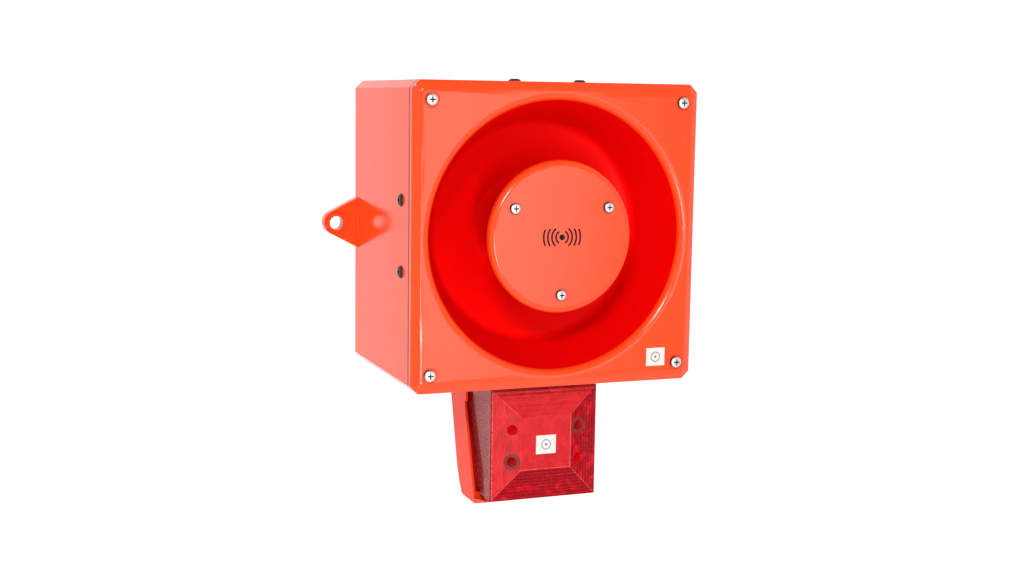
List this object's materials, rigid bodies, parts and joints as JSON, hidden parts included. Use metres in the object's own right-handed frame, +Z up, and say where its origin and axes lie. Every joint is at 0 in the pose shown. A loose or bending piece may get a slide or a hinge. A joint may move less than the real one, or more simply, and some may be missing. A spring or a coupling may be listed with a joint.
{
  "type": "horn strobe",
  "caption": "Square wall-mounted sounder with a round folded horn in front and a ribbed flashing beacon hung below.",
  "frame": {"origin": "on the wall face, midway between the two lug holes", "axes": "+X to the right seen from the front, +Y into the wall, +Z up; the horn faces -Y"},
  "size_m": [0.3114, 0.1808, 0.3623],
  "materials": {
    "case_plastic": "moulded orange-red, smooth",
    "cover_plastic": "moulded orange-red, glossy",
    "bowl_plastic": "moulded red, glossy",
    "disc_plastic": "moulded orange-red, glossy",
    "housing_plastic": "moulded orange-red, smooth",
    "lens_plastic": "clear red, ribbed",
    "black_rubber": "dull",
    "ring_rubber": "dull",
    "black_screws": "black oxide",
    "zinc_screws": "bright zinc plate",
    "zinc_hardware": "zinc plate",
    "lens_screws": "red-coated",
    "black_plastic": "moulded",
    "cast_aluminium": "die cast",
    "diaphragm_film": "thin film",
    "copper_wire": "enamelled wire",
    "plated_steel": "plated",
    "ferrite": "ground",
    "circuit_board": "solder mask",
    "brass_parts": "turned",
    "terminal_plastic": "moulded",
    "laminated_steel": "varnished",
    "winding_tape": "taped",
    "capacitor_sleeve": "shrink sleeve",
    "black_aluminium": "anodised",
    "component_black": "moulded",
    "fuse_glass": "clear",
    "switch_blue": "moulded",
    "slider_white": "moulded",
    "shaft_plastic": "moulded",
    "reflector_chrome": "bright",
    "tube_glass": "clear",
    "label_paper": "plain sticker",
    "mark_film": "plain printed film"
  },
  "bodies": {
    "case": {"rear_body": "case_plastic", "lug_plates": "case_plastic", "body_gasket": "black_rubber", "frame_screws": "black_screws", "frame_nuts": "zinc_hardware", "stopping_plug": "black_plastic", "main_board": "circuit_board", "board_standoffs": "brass_parts", "board_screws": "zinc_hardware", "terminal_block": "terminal_plastic", "terminal_screws": "zinc_hardware", "transformer_core": "laminated_steel", "transformer_winding": "winding_tape", "reservoir_capacitors": "capacitor_sleeve", "heat_sink": "black_aluminium", "power_transistor": "component_black", "fuse_holder": "brass_parts", "fuse": "fuse_glass", "tone_switch": "switch_blue", "volume_body": "component_black", "strobe_housing": "housing_plastic", "strobe_seal": "black_rubber", "strobe_board": "circuit_board", "strobe_standoffs": "brass_parts", "strobe_board_screws": "zinc_hardware", "strobe_capacitor": "capacitor_sleeve", "trigger_coil": "winding_tape", "reflector": "reflector_chrome", "flash_tube": "tube_glass", "tube_leads": "plated_steel", "strobe_nipple": "zinc_hardware", "strobe_locknut": "zinc_hardware"},
    "cover": {"front_cover": "cover_plastic", "horn_bowl": "bowl_plastic", "centre_disc": "disc_plastic", "cup_legs": "bowl_plastic", "disc_screws": "zinc_screws", "cover_screws": "zinc_screws", "throat_tube": "black_plastic", "inner_cup": "bowl_plastic", "driver_ring": "cast_aluminium", "top_plate": "plated_steel", "magnet": "ferrite", "back_plate": "plated_steel", "rear_cap": "black_plastic", "driver_screws": "zinc_hardware", "face_label": "label_paper", "disc_mark": "mark_film"},
    "cone": {"diaphragm": "diaphragm_film", "voice_coil": "copper_wire"},
    "lens": {"strobe_lens": "lens_plastic", "lens_screws": "lens_screws", "lens_seal_rings": "ring_rubber", "lens_label": "label_paper"},
    "volume": {"volume_shaft": "shaft_plastic"},
    "slider_1": {"tone_slider_1": "slider_white"},
    "slider_2": {"tone_slider_2": "slider_white"},
    "slider_3": {"tone_slider_3": "slider_white"},
    "slider_4": {"tone_slider_4": "slider_white"}
  },
  "joints": [
    {"name": "cover_lift_off", "type": "slide", "parent": "case", "child": "cover", "axis": [0, -1, 0], "range_m": [0, 0.12]},
    {"name": "diaphragm_travel", "type": "slide", "parent": "cover", "child": "cone", "axis": [0, -1, 0], "range_m": [-0.0004, 0.0004], "stiffness_N_per_m": 1500},
    {"name": "lens_lift_off", "type": "slide", "parent": "case", "child": "lens", "axis": [0, -1, 0], "range_m": [0, 0.06]},
    {"name": "volume_turn", "type": "hinge", "parent": "case", "child": "volume", "pos_m": [0.038, -0.03, -0.092], "axis": [0, -1, 0], "range_deg": [0, 270]},
    {"name": "tone_slide_1", "type": "slide", "parent": "case", "child": "slider_1", "axis": [0, 0, 1], "range_m": [0, 0.002]},
    {"name": "tone_slide_2", "type": "slide", "parent": "case", "child": "slider_2", "axis": [0, 0, 1], "range_m": [0, 0.002]},
    {"name": "tone_slide_3", "type": "slide", "parent": "case", "child": "slider_3", "axis": [0, 0, 1], "range_m": [0, 0.002]},
    {"name": "tone_slide_4", "type": "slide", "parent": "case", "child": "slider_4", "axis": [0, 0, 1], "range_m": [0, 0.002]}
  ]
}
